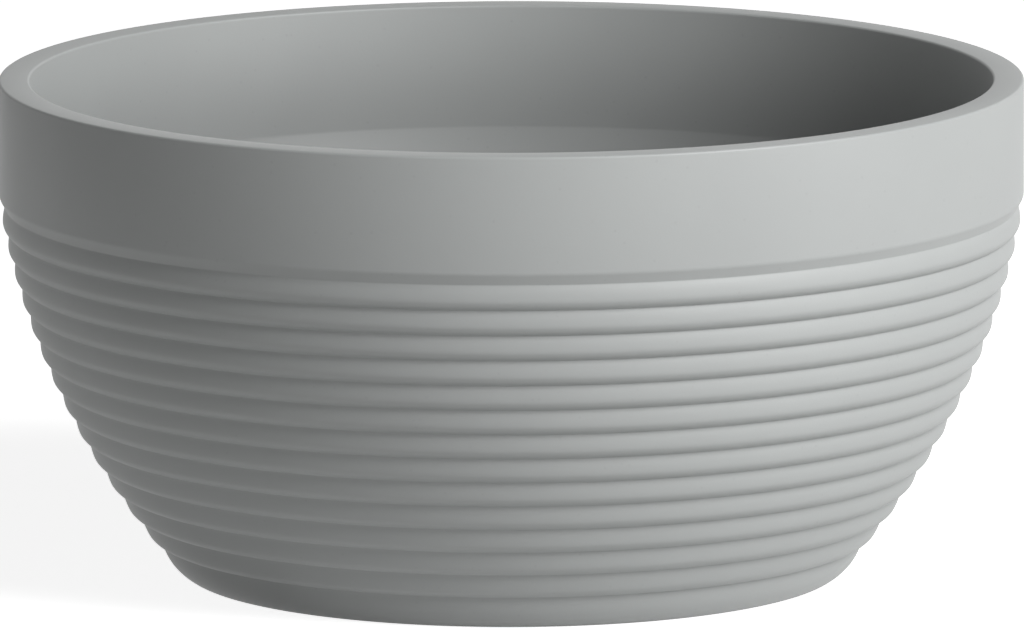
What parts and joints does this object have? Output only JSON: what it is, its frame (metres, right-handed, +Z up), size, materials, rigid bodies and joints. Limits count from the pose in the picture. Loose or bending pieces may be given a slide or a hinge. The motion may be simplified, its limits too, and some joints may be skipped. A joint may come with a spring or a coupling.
{
  "type": "shallow bowl planter",
  "caption": "Low round bowl planter with a plain collar, level ribs down its curved side, a recessed foot and pull-out drain plugs.",
  "frame": {"origin": "centre of the foot, on the ground", "axes": "+Z up along the bowl's axis; the drain plugs lie on the X and Y axes"},
  "size_m": [0.3999, 0.4, 0.195],
  "materials": {
    "bowl": "matte grey moulded plastic with a very fine grain",
    "plug": "matte black soft rubber"
  },
  "bodies": {
    "bowl": {"bowl_shell": "bowl"},
    "plug_1": {"drain_plug_1": "plug"},
    "plug_2": {"drain_plug_2": "plug"},
    "plug_3": {"drain_plug_3": "plug"},
    "plug_4": {"drain_plug_4": "plug"}
  },
  "joints": [
    {"name": "plug_1_pull", "type": "slide", "parent": "bowl", "child": "plug_1", "axis": [0, 0, 1], "range_m": [0, 0.035]},
    {"name": "plug_2_pull", "type": "slide", "parent": "bowl", "child": "plug_2", "axis": [0, 0, 1], "range_m": [0, 0.035]},
    {"name": "plug_3_pull", "type": "slide", "parent": "bowl", "child": "plug_3", "axis": [0, 0, 1], "range_m": [0, 0.035]},
    {"name": "plug_4_pull", "type": "slide", "parent": "bowl", "child": "plug_4", "axis": [0, 0, 1], "range_m": [0, 0.035]}
  ]
}
